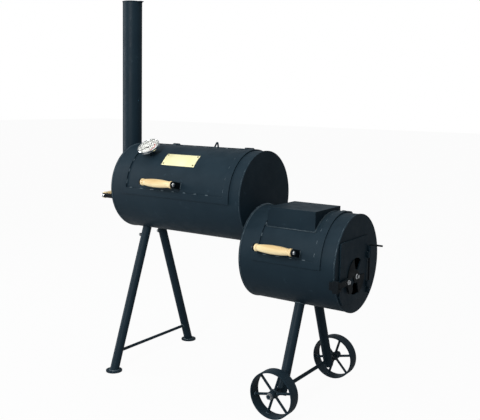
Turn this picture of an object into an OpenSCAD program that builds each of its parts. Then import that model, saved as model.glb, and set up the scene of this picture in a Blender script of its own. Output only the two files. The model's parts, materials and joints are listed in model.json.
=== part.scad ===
// Offset smoker: a smoke chamber and a lower firebox made from the same steel pipe.
// X runs along the pipes towards the firebox, -Y is the front, Z is up.
// The origin is on the ground under the middle of the whole object.

/* [Pipes] */
// Outer diameter of both pipes
pipe_d = 406.4; // [380:0.1:420]
// Wall of both pipes
pipe_wall = 6.3; // [5:0.1:8]
// Thickness of the flat end plates
end_t = 5; // [4:0.5:8]
// Length of the smoke chamber over its end plates
chamber_len = 732; // [700:1:760]
// Length of the firebox over its end plates
firebox_len = 451; // [430:1:480]
// Height of the smoke chamber's axis
chamber_z = 853; // [840:1:870]
// Height of the firebox's axis
firebox_z = 619; // [610:1:630]
// Place along X where chamber and firebox meet
join_x = 196.5; // [190:0.5:200]

/* [Lids] */
// Width of the flat bar around each lid
strip_w = 30; // [24:1:34]
// Thickness of the flat bar around each lid
strip_t = 5; // [4:0.5:6]
// Chamber lid, distance of its left edge from the meeting plane
chamber_lid_left = 665; // [640:1:680]
// Chamber lid, distance of its right edge from the meeting plane
chamber_lid_right = 57; // [50:1:70]
// Angle of the chamber lid's hinge line, counted from the front over the top
chamber_hinge_a = 109.5; // [106:0.5:112]
// Firebox lid, distance of its left edge from the meeting plane
firebox_lid_left = 66; // [60:1:80]
// Firebox lid, distance of its right edge from the meeting plane
firebox_lid_right = 387; // [380:1:400]
// Angle of the firebox lid's hinge line
firebox_hinge_a = 117; // [115:0.5:119]

/* [Stack] */
// Outer diameter of the stack
stack_d = 94; // [88:1:102]
// Height of the stack's open top
stack_top = 1738; // [1600:1:1800]
// Height of the stack's closed bottom
stack_bottom = 960; // [955:1:965]

/* [Legs and wheels] */
// Outer diameter of the leg tubes
leg_d = 42; // [38:1:46]
// Half of the distance between the two left feet
foot_y = 284.5; // [270:0.5:300]
// Outer diameter of the wheels
wheel_d = 196; // [190:1:200]
// Width of the wheel rims
wheel_w = 54; // [44:1:58]
// Half of the distance between the wheels' middles
wheel_y = 273; // [265:1:275]

/* [Handles] */
// Length of a wooden grip
grip_len = 172; // [160:1:180]
// Largest diameter of a wooden grip
grip_d = 38; // [34:1:40]
// Distance from the pipe's wall to the middle of a lid grip
grip_off = 55; // [50:1:60]

/* [Hidden] */
$fn = 96;
pipe_r = pipe_d / 2;
pipe_ri = pipe_r - pipe_wall;
gap = 0.5;                      // free space between a lid and the pipe under it
skin_r = pipe_r + gap;          // outer radius of the lid panels
strip_r = skin_r + strip_t;     // outer radius of the flat bars
kerf = 2.5;                     // saw cut around a lid panel
kerf_a = 0.7;                   // the same cut along the panel's straight edges, in degrees
rod_r = 4;                      // handle bolts and hinge pins
fit = 0.05;                     // radial clearance of a running fit

// chamber lid
chamber_lid_a0 = -5;
chamber_panel_a0 = -3;
chamber_panel_a1 = chamber_hinge_a - 4;
chamber_hinge_xs = [-560, -130];
// firebox lid
firebox_lid_a0 = -0.6;
firebox_panel_a0 = 1.2;
firebox_panel_a1 = firebox_hinge_a - 4;
firebox_hinge_xs = [95, 355];
hinge_r = skin_r + 9;           // distance of a lid hinge from the pipe's axis
barrel_r = 8;
barrel_len = 16;                // length of one half of a lid hinge

// hot plate on the firebox lid
hot_x0 = 106;
hot_x1 = 331;
hot_y0 = -150;
hot_y1 = 75;
hot_top = 219;
hot_t = 4;

// stack
stack_r = stack_d / 2;
stack_wall = 4;
stack_x = -chamber_len - 6 - stack_r;
inlet_r = 38;
inlet_z = stack_bottom + 46;
flap_t = 4;
flap_pivot_r = stack_r + 9;
flap_pivot_a = 150;

// left legs
screw_z = 616;                  // height of the thumb screws that clamp them

// thermometer
thermo_x = -556;
thermo_a = 55;
thermo_r = 53;
needle_rest = -45;              // the cold end of the scale, from the dial's foot

// nameplate
name_x0 = -462;
name_x1 = -276;
name_a0 = 37.5;
name_a1 = 57;

// handles
chamber_grip_x = -411;
chamber_grip_a = 11.3;
firebox_grip_x = 198;
firebox_grip_a = 14.3;
lug_t = 6;
lug_w = 30;
carry_x = -895;
carry_z = -60;
carry_bar_h = 22;
carry_half = 88;

// legs and wheels
left_leg_x = -639;
right_leg_x = 231;
leg_r = leg_d / 2;
leg_wall = 3;
foot_r = 38;
foot_t = 6;
left_slope = 0.3547;
axle_r = 8;
axle_z = wheel_d / 2;
right_leg_top_y = 79;
right_leg_top_z = 425;
right_leg_axle_y = 204;
hub_r = 17;
hub_len = 62;
rim_t = 6;
spoke_r = 5.5;
axle_half = 316;

// door on the firebox's right end
door_t = 6;
door_x = firebox_len + gap;
door_y0 = -168;
door_y1 = 84;
door_z0 = -150;
door_z1 = 108;
door_lap = 16;
door_pin_x = firebox_len + 12;
door_pin_y = 93;
door_pin_top = 66;
door_pin_low = -141;
vent_y = -24;
vent_z = -48;
vent_a = 84;
vent_ri = 28;
vent_ro = 76;
latch_y = -116;
latch_z = -54;
latch_x = door_x + door_t + 5.5;

// grates
grate_z = -24;
fire_grate_z = -95;

// ---- helpers -------------------------------------------------------------

// A point at angle a on a circle round the pipe's axis, as [y, z].
function on_pipe(r, a) = [-r * cos(a), r * sin(a)];

// Sides of a drawn circle, finer on the pipes than on small parts.
function sides(r) = r > 100 ? 360 : 96;

// Places children in the chamber's or the firebox's own frame.
module at_chamber() { translate([join_x, 0, chamber_z]) children(); }
module at_firebox() { translate([join_x, 0, firebox_z]) children(); }

// Extrudes a YZ outline from x0 to x1.
module along_x(x0, x1) {
    translate([x0, 0, 0]) rotate([90, 0, 90]) linear_extrude(x1 - x0) children();
}

// A straight cylinder along X.
module rod_x(x0, x1, r) {
    translate([x0, 0, 0]) rotate([0, 90, 0]) cylinder(h = x1 - x0, r = r, $fn = sides(r));
}

// A straight cylinder along Y.
module rod_y(y0, y1, r) { translate([0, y0, 0]) rotate([-90, 0, 0]) cylinder(h = y1 - y0, r = r); }

// A wedge between two angles, wide enough to cut any ring of this part.
module wedge(a0, a1) {
    far = 2 * pipe_d;
    mid = (a0 + a1) / 2;
    polygon([[0, 0], on_pipe(far, a0), on_pipe(far, (a0 + mid) / 2), on_pipe(far, mid),
        on_pipe(far, (a1 + mid) / 2), on_pipe(far, a1)]);
}

// A curved plate round the pipe's axis.
module band(ri, ro, a0, a1, x0, x1) {
    along_x(x0, x1) intersection() {
        difference() {
            circle(r = ro, $fn = sides(ro));
            circle(r = ri, $fn = sides(ri));
        }
        wedge(a0, a1);
    }
}

// Places children at angle a round the pipe: X points outward, Y along the pipe, Z round it.
module radial(x, a, r) {
    translate([x, -r * cos(a), r * sin(a)]) rotate([-a, 0, 0]) rotate([0, 0, -90]) children();
}

// A straight tube or rod between two points.
module strut(p, q, r) {
    d = q - p;
    length = norm(d);
    turn = atan2(d[1], d[0]);
    lean = acos(d[2] / length);
    translate(p) rotate([0, lean, turn]) cylinder(h = length, r = r);
}

// ---- shapes that repeat --------------------------------------------------

module pipe(length) {
    along_x(end_t, length - end_t) difference() {
        circle(r = pipe_r, $fn = sides(pipe_r));
        circle(r = pipe_ri, $fn = sides(pipe_ri));
    }
}

module lid_hole(x0, x1, a0, a1) {
    band(pipe_ri - 5, pipe_r + 5, a0 - kerf_a, a1 + kerf_a, x0 - kerf, x1 + kerf);
}

module lid_strips(x0, x1, a0, a1) {
    foot = strip_w / strip_r * 180 / PI;
    band(skin_r, strip_r, a0, a1, x0, x0 + strip_w);
    band(skin_r, strip_r, a0, a1, x1 - strip_w, x1);
    band(skin_r, strip_r, a0, a0 + foot, x0 + strip_w, x1 - strip_w);
    band(skin_r, strip_r, a1 - foot, a1, x0 + strip_w, x1 - strip_w);
}

// Half of a barrel hinge: it reaches from x towards side, and its leaf lies on radius seat.
module knuckle(x, side, a, leaf_dir, seat) {
    x0 = side > 0 ? x + 0.5 : x - 0.5 - barrel_len;
    difference() {
        union() {
            radial(x0, a, hinge_r) rod_y(0, barrel_len, barrel_r);
            radial(x0, a, hinge_r) translate([seat - hinge_r - 6, 0, leaf_dir > 0 ? 0 : -22])
                cube([hinge_r - seat + 8, barrel_len, 22]);
        }
        rod_x(x0 - 1, x0 + barrel_len + 1, seat);
        radial(x0, a, hinge_r) rod_y(-1, barrel_len + 1, rod_r + fit);
    }
}

module hinge_pin(x, a) {
    reach = barrel_len + 1;
    radial(x, a, hinge_r) {
        rod_y(-reach, reach, rod_r);
        for (end = [-1, 1]) translate([0, end * (reach + 1.5), 0]) rod_y(-1.5, 1.5, rod_r + 2);
    }
}

// A turned grip along X with a collar at each end.
module grip() {
    half = grip_len / 2;
    end_r = 0.41 * grip_d;
    waist_r = 0.38 * grip_d;
    rotate([0, 90, 0]) rotate_extrude() polygon(concat(
        [[rod_r + fit, -half], [end_r - 3, -half], [end_r, -half + 3], [end_r, -half + 11],
            [waist_r, -half + 16]],
        [for (i = [1:11]) let (t = -1 + i / 6)
            [waist_r + (grip_d / 2 - waist_r) * (1 - t * t), t * (half - 16)]],
        [[waist_r, half - 16], [end_r, half - 11], [end_r, half - 3], [end_r - 3, half],
            [rod_r + fit, half]]));
}

// The through bolt of a grip: a domed head at the high end, a nut at the low end.
module grip_bolt() {
    reach = grip_len / 2 + lug_t + 1;
    rod_x(-reach, reach, rod_r);
    rod_x(reach, reach + 2, 9);
    translate([reach + 2, 0, 0]) rotate([0, 90, 0]) cylinder(h = 5, r1 = 7.5, r2 = 5);
    translate([-reach - 7, 0, 0]) rotate([0, 90, 0]) difference() {
        cylinder(h = 7, r = 7.5, $fn = 6);
        translate([0, 0, -1]) cylinder(h = 3, r = 3);
    }
}

// The two ears that hold a grip off a lid.
module grip_lugs(x, a) {
    out = pipe_r + grip_off;
    for (side = [-1, 1]) {
        mid = x + side * (grip_len / 2 + 1 + lug_t / 2);
        difference() {
            along_x(mid - lug_t / 2, mid + lug_t / 2) union() {
                translate(on_pipe(out, a)) circle(r = lug_w / 2);
                polygon([on_pipe(out, a) + on_pipe(lug_w / 2, a + 90),
                    on_pipe(out, a) - on_pipe(lug_w / 2, a + 90),
                    on_pipe(skin_r - 5, a) - on_pipe(lug_w / 2, a + 90),
                    on_pipe(skin_r - 5, a) + on_pipe(lug_w / 2, a + 90)]);
            }
            rod_x(mid - lug_t, mid + lug_t, skin_r);
            translate([mid - lug_t, on_pipe(out, a)[0], on_pipe(out, a)[1]])
                rotate([0, 90, 0]) cylinder(h = 2 * lug_t, r = rod_r + fit);
        }
    }
}

module at_grip(x, a) {
    translate([x, on_pipe(pipe_r + grip_off, a)[0], on_pipe(pipe_r + grip_off, a)[1]]) children();
}

// The lens-shaped passage where the two pipes overlap, as a YZ outline round the chamber's axis.
module throat() {
    intersection() {
        circle(r = pipe_ri - 19, $fn = sides(pipe_ri - 19));
        translate([0, firebox_z - chamber_z]) circle(r = pipe_ri - 19, $fn = sides(pipe_ri - 19));
    }
}

// Two opposite pie pieces of the door vent, as a YZ outline round the vent's middle.
module bow_tie(ri, ro, middle, half) {
    for (turn = [0, 180]) rotate(middle + turn) intersection() {
        difference() {
            circle(r = ro, $fn = sides(ro));
            circle(r = ri, $fn = sides(ri));
        }
        polygon([[0, 0], 3 * ro * [cos(half), -sin(half)], 3 * ro * [1, 0],
            3 * ro * [cos(half), sin(half)]]);
    }
}

// ---- smoke chamber -------------------------------------------------------

module chamber_shell() {
    color("#20292c") at_chamber() difference() {
        translate([-chamber_len, 0, 0]) pipe(chamber_len);
        lid_hole(-chamber_lid_left + strip_w / 2, -chamber_lid_right - strip_w / 2,
            chamber_panel_a0, chamber_panel_a1);
    }
}

module chamber_left_end_plate() {
    color("#20292c") at_chamber() difference() {
        rod_x(-chamber_len, -chamber_len + end_t, pipe_r + 2);
        translate([0, 0, inlet_z - chamber_z])
            rod_x(-chamber_len - 1, -chamber_len + end_t + 1, inlet_r - 3);
    }
}

module chamber_right_end_plate() {
    color("#20292c") at_chamber() difference() {
        rod_x(-end_t, 0, pipe_r + 2);
        along_x(-end_t - 1, 1) throat();
    }
}

module chamber_lid_panel() {
    color("#20292c") at_chamber() difference() {
        band(pipe_ri + gap, skin_r, chamber_panel_a0, chamber_panel_a1,
            -chamber_lid_left + strip_w / 2, -chamber_lid_right - strip_w / 2);
        radial(thermo_x, thermo_a, 0) rotate([0, 90, 0]) cylinder(h = pipe_d, r = 10 + fit);
    }
}

module chamber_lid_strips() {
    color("#20292c") at_chamber()
        lid_strips(-chamber_lid_left, -chamber_lid_right, chamber_lid_a0, chamber_hinge_a - 2.5);
}

module chamber_lid_knuckles() {
    color("#20292c") at_chamber() {
        knuckle(chamber_hinge_xs[0], 1, chamber_hinge_a, -1, strip_r);
        knuckle(chamber_hinge_xs[1], -1, chamber_hinge_a, -1, strip_r);
    }
}

module chamber_hinge_knuckles() {
    color("#20292c") at_chamber() {
        knuckle(chamber_hinge_xs[0], -1, chamber_hinge_a, 1, pipe_r);
        knuckle(chamber_hinge_xs[1], 1, chamber_hinge_a, 1, pipe_r);
    }
}

module chamber_hinge_pins() {
    color("#20292c") at_chamber() for (x = chamber_hinge_xs) hinge_pin(x, chamber_hinge_a);
}

// Bent rod behind the hinge line that the open lid leans on.
module lid_stop_loop() {
    loop_x = -340;
    loop_y = 92;
    bend = 11;
    bend_z = 211;
    color("#20292c") at_chamber() difference() {
        union() {
            for (side = [-1, 1]) translate([loop_x + side * bend, loop_y, 170])
                cylinder(h = bend_z - 170, r = 4);
            translate([loop_x, loop_y, bend_z]) rotate([90, 0, 0])
                rotate_extrude(angle = 180) translate([bend, 0]) circle(r = 4);
        }
        rod_x(loop_x - 2 * bend, loop_x + 2 * bend, pipe_r);
    }
}

module chamber_handle_lugs() {
    color("#15191b") at_chamber() grip_lugs(chamber_grip_x, chamber_grip_a);
}

module chamber_handle_grip() {
    color("#d9a866") at_chamber() at_grip(chamber_grip_x, chamber_grip_a) grip();
}

module chamber_handle_bolt() {
    color("#c9cccd") at_chamber() at_grip(chamber_grip_x, chamber_grip_a) grip_bolt();
}

// ---- thermometer ---------------------------------------------------------

module at_thermo() { at_chamber() radial(thermo_x, thermo_a, 0) children(); }

module thermometer_stem() {
    color("#3a3f42") at_thermo() rotate([0, 90, 0]) {
        translate([0, 0, pipe_r - 60]) cylinder(h = 60, r = 4);
        translate([0, 0, pipe_r - 8]) cylinder(h = 33, r = 10);
        translate([0, 0, skin_r]) cylinder(h = 9, r = 17, $fn = 6);
    }
}

module thermometer_case() {
    color("#c9cccd") at_thermo() rotate([0, 90, 0]) translate([0, 0, pipe_r + 25]) difference() {
        union() {
            cylinder(h = 10, r1 = 14, r2 = 44);
            translate([0, 0, 10]) cylinder(h = 14, r = thermo_r);
        }
        translate([0, 0, 13]) cylinder(h = 12, r = thermo_r - 4);
    }
}

module thermometer_dial() {
    color("#eeeade") at_thermo() rotate([0, 90, 0]) translate([0, 0, pipe_r + 38]) difference() {
        cylinder(h = 2, r = thermo_r - 4.2);
        translate([0, 0, -1]) cylinder(h = 4, r = 1.5 + fit);
    }
}

module thermometer_needle() {
    color("#202020") at_thermo() rotate([0, 90, 0]) rotate(needle_rest) translate([0, 0, pipe_r + 38.5]) {
        cylinder(h = 4.5, r = 1.5);
        translate([0, 0, 2.5]) cylinder(h = 2, r = 4);
        translate([0, 0, 3]) linear_extrude(1) polygon([[-12, -2], [-12, 2], [38, 0.7], [38, -0.7]]);
    }
}

module thermometer_glass() {
    color("#dfe8ea") at_thermo() rotate([0, 90, 0]) translate([0, 0, pipe_r + 46])
        cylinder(h = 2, r = thermo_r - 4.2);
}

module nameplate() {
    color("#c9b873") at_chamber() band(skin_r, skin_r + 1.4, name_a0, name_a1, name_x0, name_x1);
}

module nameplate_rivets() {
    edge_a = 2.4;
    color("#a08f55") at_chamber() for (x = [name_x0 + 9, name_x1 - 9])
        for (a = [name_a0 + edge_a, name_a1 - edge_a])
            radial(x, a, skin_r + 1.4) rotate([0, 90, 0]) cylinder(h = 2, r1 = 4, r2 = 2.6);
}

// ---- carrying handle on the left end -------------------------------------

module carry_handle_bars() {
    color("#15191b") at_chamber() for (side = [-1, 1])
        translate([0, side * (carry_half + lug_t / 2), carry_z]) rotate([90, 0, 0])
            translate([0, 0, -lug_t / 2]) difference() {
                union() {
                    translate([carry_x, -carry_bar_h / 2, 0])
                        cube([-chamber_len - carry_x, carry_bar_h, lug_t]);
                    translate([carry_x, 0, 0]) cylinder(h = lug_t, r = carry_bar_h / 2);
                }
                translate([carry_x, 0, -1]) cylinder(h = lug_t + 2, r = rod_r + fit);
            }
}

module carry_handle_grip() {
    color("#d9a866") at_chamber() translate([carry_x, 0, carry_z]) rotate([0, 0, 90]) grip();
}

module carry_handle_bolt() {
    color("#c9cccd") at_chamber() translate([carry_x, 0, carry_z]) rotate([0, 0, -90]) {
        reach = carry_half + lug_t;
        rod_x(-reach, reach, rod_r);
        rod_x(reach, reach + 2, 9);
        translate([reach + 2, 0, 0]) rotate([0, 90, 0]) cylinder(h = 5, r1 = 7.5, r2 = 5);
        translate([-reach - 7, 0, 0]) rotate([0, 90, 0]) cylinder(h = 7, r = 7.5, $fn = 6);
    }
}

// ---- stack ---------------------------------------------------------------

module at_stack() { translate([join_x + stack_x, 0, 0]) children(); }

// Short sideways pipe from the chamber's end plate into the stack.
module stack_inlet() {
    color("#20292c") difference() {
        translate([join_x, 0, inlet_z]) rod_x(stack_x, -chamber_len, inlet_r);
        translate([join_x, 0, inlet_z]) rod_x(stack_x - 1, -chamber_len + 1, inlet_r - 3);
        at_stack() translate([0, 0, stack_bottom - 1]) cylinder(h = 200, r = stack_r);
    }
}

module stack_tube() {
    color("#20292c") difference() {
        at_stack() translate([0, 0, stack_bottom])
            cylinder(h = stack_top - stack_bottom, r = stack_r);
        at_stack() translate([0, 0, stack_bottom + end_t])
            cylinder(h = stack_top - stack_bottom, r = stack_r - stack_wall);
        translate([join_x, 0, inlet_z]) rod_x(stack_x, -chamber_len, inlet_r - 3);
    }
}

module at_flap_pivot() {
    at_stack() rotate([0, 0, flap_pivot_a]) translate([flap_pivot_r, 0, stack_top]) children();
}

// Swivelling rain flap with a thumb tab.
module stack_flap() {
    color("#20292c") difference() {
        union() {
            at_stack() translate([0, 0, stack_top + gap]) cylinder(h = flap_t, r = stack_r + 1.5);
            at_stack() translate([0, -11, stack_top + gap]) cube([stack_r + 15, 22, flap_t]);
            at_flap_pivot() translate([0, 0, gap]) cylinder(h = flap_t, r = 10);
            at_stack() rotate([0, 0, flap_pivot_a]) translate([0, -10, stack_top + gap])
                cube([flap_pivot_r, 20, flap_t]);
        }
        at_flap_pivot() translate([0, 0, -1]) cylinder(h = 10, r = rod_r + fit);
    }
}

// Lug welded to the stack, with the bolt that the flap turns on.
module stack_flap_pivot() {
    color("#20292c") {
        difference() {
            at_stack() rotate([0, 0, flap_pivot_a]) translate([stack_r - 6, -9, stack_top - 24])
                cube([24, 18, 24]);
            at_stack() translate([0, 0, stack_top - 25]) cylinder(h = 26, r = stack_r);
        }
        at_flap_pivot() cylinder(h = flap_t + 1, r = rod_r);
        at_flap_pivot() translate([0, 0, flap_t + 1]) cylinder(h = 4, r = 7, $fn = 6);
    }
}

// ---- left legs -----------------------------------------------------------

// A point on a left leg's middle line at height z; side is -1 in front and 1 behind.
function left_leg(side, z) = [left_leg_x, side * (foot_y - left_slope * z), z];

module left_leg_outline(side, z0, z1, r) { strut(left_leg(side, z0), left_leg(side, z1), r); }

module leg_stubs() {
    color("#20292c") translate([join_x, 0, 0]) for (side = [-1, 1]) difference() {
        left_leg_outline(side, 560, 700, leg_r - leg_wall - fit);
        left_leg_outline(side, 550, 640, leg_r - leg_wall - 4);
        translate([0, 0, chamber_z]) rod_x(left_leg_x - 60, left_leg_x + 60, pipe_r);
        mirror([0, side < 0 ? 0 : 1, 0]) translate([left_leg_x - 60, 0, 0]) cube([120, 400, 800]);
    }
}

module left_leg(side) {
    color("#20292c") translate([join_x, 0, 0]) difference() {
        left_leg_outline(side, -20, 700, leg_r);
        left_leg_outline(side, -30, 710, leg_r - leg_wall);
        translate([left_leg_x - 100, -400, -100]) cube([200, 800, 100 + foot_t]);
        translate([0, 0, chamber_z]) rod_x(left_leg_x - 60, left_leg_x + 60, pipe_r + 1);
        mirror([0, side < 0 ? 0 : 1, 0]) translate([left_leg_x - 60, -0.3, 0]) cube([120, 400, 800]);
        translate([left_leg_x - 30, 0, 0]) translate([0, left_leg(side, screw_z)[1], screw_z])
            rod_x(-5, 15, 4 + fit);
    }
}

module left_leg_front() { left_leg(-1); }
module left_leg_back() { left_leg(1); }

// Thumb screws that hold the legs on their stubs.
module leg_set_screws() {
    color("#8d9294") translate([join_x + left_leg_x, 0, screw_z]) for (side = [-1, 1])
        translate([0, left_leg(side, screw_z)[1], 0]) {
            rod_x(-leg_r - 6, -leg_r + leg_wall, 4);
            translate([-leg_r - 14, 0, 0]) rotate([0, 90, 0]) cylinder(h = 8, r = 8, $fn = 6);
        }
}

module feet() {
    color("#20292c") translate([join_x + left_leg_x, 0, 0]) for (side = [-1, 1])
        translate([0, side * foot_y, 0]) cylinder(h = foot_t, r = foot_r);
}

module leg_brace() {
    height = 87;
    color("#20292c") translate([join_x, 0, 0]) difference() {
        translate([left_leg_x, 0, height]) rod_y(-foot_y, foot_y, 7);
        left_leg_outline(-1, 0, 200, leg_r);
        left_leg_outline(1, 0, 200, leg_r);
        for (side = [-1, 1]) mirror([0, side < 0 ? 0 : 1, 0])
            translate([left_leg_x - 20, foot_y - left_slope * height, 0]) cube([40, 100, 200]);
    }
}

// ---- inside the chamber --------------------------------------------------

module cooking_grate() {
    half = 178;
    x0 = -chamber_len + 40;
    x1 = -40;
    bars = 24;
    color("#5b5f61") at_chamber() translate([0, 0, grate_z]) {
        for (y = [-half, 0, half]) translate([0, y, -6]) rod_x(x0, x1, 4);
        for (i = [0:bars]) translate([x0 + 5 + i * (x1 - x0 - 10) / bars, 0, 0.5])
            rod_y(-half - 4, half + 4, 2.5);
    }
}

module grate_rails() {
    color("#20292c") {
        at_chamber() for (side = [-1, 1]) intersection() {
            along_x(-chamber_len + 60, -60)
                translate([side > 0 ? 170 : -200, grate_z - 16]) square([30, 6]);
            rod_x(-chamber_len, 0, pipe_ri);
        }
        at_firebox() for (side = [-1, 1]) intersection() {
            along_x(30, firebox_len - 30)
                translate([side > 0 ? 140 : -180, fire_grate_z - 14]) square([40, 8]);
            rod_x(0, firebox_len, pipe_ri);
        }
    }
}

// ---- firebox -------------------------------------------------------------

module firebox_shell() {
    color("#20292c") at_firebox() difference() {
        pipe(firebox_len);
        lid_hole(firebox_lid_left + strip_w / 2, firebox_lid_right - strip_w / 2,
            firebox_panel_a0, firebox_panel_a1);
    }
}

module firebox_left_end_plate() {
    color("#20292c") difference() {
        at_firebox() rod_x(0, end_t, pipe_r + 2);
        at_chamber() along_x(-1, end_t + 1) throat();
    }
}

module firebox_right_end_plate() {
    color("#20292c") at_firebox() difference() {
        rod_x(firebox_len - end_t, firebox_len, pipe_r + 2);
        along_x(firebox_len - end_t - 1, firebox_len + 1) intersection() {
            circle(r = pipe_ri - 18, $fn = sides(pipe_ri - 18));
            translate([door_y0 + door_lap, door_z0 + door_lap])
                square([door_y1 - door_y0 - 2 * door_lap, door_z1 - door_z0 - 2 * door_lap]);
        }
    }
}

module firebox_lid_panel() {
    color("#20292c") at_firebox() difference() {
        band(pipe_ri + gap, skin_r, firebox_panel_a0, firebox_panel_a1,
            firebox_lid_left + strip_w / 2, firebox_lid_right - strip_w / 2);
        translate([hot_x0 + 20, hot_y0 + 20, 0])
            cube([hot_x1 - hot_x0 - 40, hot_y1 - hot_y0 - 40, pipe_d]);
    }
}

module firebox_lid_strips() {
    color("#20292c") at_firebox()
        lid_strips(firebox_lid_left, firebox_lid_right, firebox_lid_a0, firebox_hinge_a - 2.5);
}

module firebox_lid_knuckles() {
    color("#20292c") at_firebox() {
        knuckle(firebox_hinge_xs[0], 1, firebox_hinge_a, -1, strip_r);
        knuckle(firebox_hinge_xs[1], -1, firebox_hinge_a, -1, strip_r);
    }
}

module firebox_hinge_knuckles() {
    color("#20292c") at_firebox() {
        knuckle(firebox_hinge_xs[0], -1, firebox_hinge_a, 1, pipe_r);
        knuckle(firebox_hinge_xs[1], 1, firebox_hinge_a, 1, pipe_r);
    }
}

module firebox_hinge_pins() {
    color("#20292c") at_firebox() for (x = firebox_hinge_xs) hinge_pin(x, firebox_hinge_a);
}

// Flat-topped hot plate on four skirts that follow the pipe.
module hot_plate_box() {
    color("#20292c") at_firebox() difference() {
        translate([hot_x0, hot_y0, 100]) cube([hot_x1 - hot_x0, hot_y1 - hot_y0, hot_top - 100]);
        translate([hot_x0 + hot_t, hot_y0 + hot_t, 99])
            cube([hot_x1 - hot_x0 - 2 * hot_t, hot_y1 - hot_y0 - 2 * hot_t, hot_top - 99 - hot_t]);
        rod_x(hot_x0 - 1, hot_x1 + 1, skin_r);
        band(skin_r - 1, strip_r, firebox_panel_a1 - 9, firebox_panel_a1 + 2, hot_x0 - 1, hot_x1 + 1);
    }
}

module firebox_handle_lugs() {
    color("#15191b") at_firebox() grip_lugs(firebox_grip_x, firebox_grip_a);
}

module firebox_handle_grip() {
    color("#d9a866") at_firebox() at_grip(firebox_grip_x, firebox_grip_a) grip();
}

module firebox_handle_bolt() {
    color("#c9cccd") at_firebox() at_grip(firebox_grip_x, firebox_grip_a) grip_bolt();
}

module fire_grate() {
    half = 150;
    bars = 10;
    color("#3c3f41") at_firebox() translate([0, 0, fire_grate_z]) {
        for (x = [60, firebox_len - 60]) translate([x, 0, 0]) rod_y(-half, half, 6);
        for (i = [0:bars]) translate([0, -half + 10 + i * (2 * half - 20) / bars, 12])
            rod_x(40, firebox_len - 40, 6);
    }
}

// ---- firebox door --------------------------------------------------------

module at_door() { at_firebox() translate([door_x, 0, 0]) children(); }

module door() {
    color("#20292c") at_door() difference() {
        along_x(0, door_t) difference() {
            intersection() {
                circle(r = pipe_r - 3, $fn = sides(pipe_r - 3));
                translate([door_y0, door_z0]) square([door_y1 - door_y0, door_z1 - door_z0]);
            }
            translate([vent_y, vent_z]) bow_tie(vent_ri, vent_ro, vent_a, 32);
        }
        translate([0, vent_y, vent_z]) rod_x(-1, door_t + 1, 5 + fit);
        translate([0, latch_y, latch_z]) rod_x(-1, door_t + 1, 5 + fit);
    }
    // arms and barrels on the door's hinge side
    color("#20292c") at_firebox() for (z = [-111.5, 11]) difference() {
        union() {
            translate([door_pin_x, door_pin_y, z]) cylinder(h = 25, r = 7);
            translate([door_x + door_t, door_y1 - 8, z]) cube([door_pin_x - door_x - door_t + 5,
                door_pin_y - door_y1 + 8, 25]);
        }
        translate([door_pin_x, door_pin_y, z - 1]) cylinder(h = 27, r = rod_r + fit);
    }
}

module door_hinge_knuckles() {
    color("#20292c") at_firebox() for (z = [-137, 36.5]) difference() {
        union() {
            translate([door_pin_x, door_pin_y, z]) cylinder(h = 25, r = 7);
            translate([firebox_len, door_pin_y - 7, z]) cube([door_pin_x - firebox_len, 14, 25]);
        }
        translate([door_pin_x, door_pin_y, z - 1]) cylinder(h = 27, r = rod_r + fit);
    }
}

// Long loose pin with a bent top to pull it by.
module door_hinge_pin() {
    color("#2a3033") at_firebox() translate([door_pin_x, door_pin_y, 0]) {
        translate([0, 0, door_pin_low]) cylinder(h = door_pin_top - door_pin_low, r = rod_r);
        translate([0, 0, door_pin_top]) sphere(r = rod_r);
        translate([0, 0, door_pin_top]) rod_x(0, 58, rod_r);
    }
}

module latch_lever() {
    arm_half = 12;
    color("#15191b") at_firebox() translate([latch_x, latch_y, latch_z]) along_x(0, 6) difference() {
        union() {
            translate([-84, -arm_half]) square([84, 2 * arm_half]);
            circle(r = 16);
            rotate(-54) translate([0, -15]) square([44, 30]);
            rotate(-54) translate([44, 0]) circle(r = 18);
        }
        circle(r = 5 + fit);
    }
}

module latch_bolt() {
    color("#c9cccd") at_firebox() translate([0, latch_y, latch_z]) {
        rod_x(door_x - 5, latch_x + 6, 5);
        rod_x(door_x + door_t, latch_x - 0.3, 8);
        rod_x(latch_x + 6.3, latch_x + 8.3, 10);
        translate([latch_x + 6, 0, 0]) rod_x(0, 0.3, 5);
        translate([latch_x + 8.3, 0, 0]) rotate([0, 90, 0]) cylinder(h = 5, r = 8, $fn = 6);
        translate([door_x - 12, 0, 0]) rotate([0, 90, 0]) cylinder(h = 7, r = 8, $fn = 6);
    }
}

// Rest for the latch arm, welded to the firebox's front.
module latch_keeper() {
    shelf_top = latch_z - 12.3;
    color("#15191b") at_firebox() difference() {
        union() {
            along_x(firebox_len - 26, latch_x + 9)
                translate([-215, latch_z - 28]) square([8, 50]);
            along_x(firebox_len - 26, firebox_len - end_t - 1)
                translate([-208, latch_z - 20]) square([20, 30]);
            along_x(firebox_len + 2, latch_x + 9)
                translate([-208, shelf_top - 10]) square([26, 10]);
        }
        rod_x(firebox_len - 30, firebox_len - 3, pipe_r);
    }
}

module vent_butterfly() {
    color("#20292c") at_door() translate([door_t + gap, vent_y, vent_z])
        along_x(0, 3) difference() {
            union() {
                bow_tie(0, vent_ro + 3, vent_a + 60, 35);
                circle(r = vent_ri - 2);
            }
            circle(r = 5 + fit);
        }
}

module vent_knob() {
    color("#c9cccd") at_door() translate([0, vent_y, vent_z]) {
        rod_x(-5, door_t + 4, 5);
        rod_x(door_t + 4, door_t + 6, 11);
        translate([door_t + 6, 0, 0]) rotate([0, 90, 0]) cylinder(h = 8, r = 8, $fn = 6);
        translate([-12, 0, 0]) rotate([0, 90, 0]) cylinder(h = 7, r = 8, $fn = 6);
    }
}

// ---- axle, right legs and wheels -----------------------------------------

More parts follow.
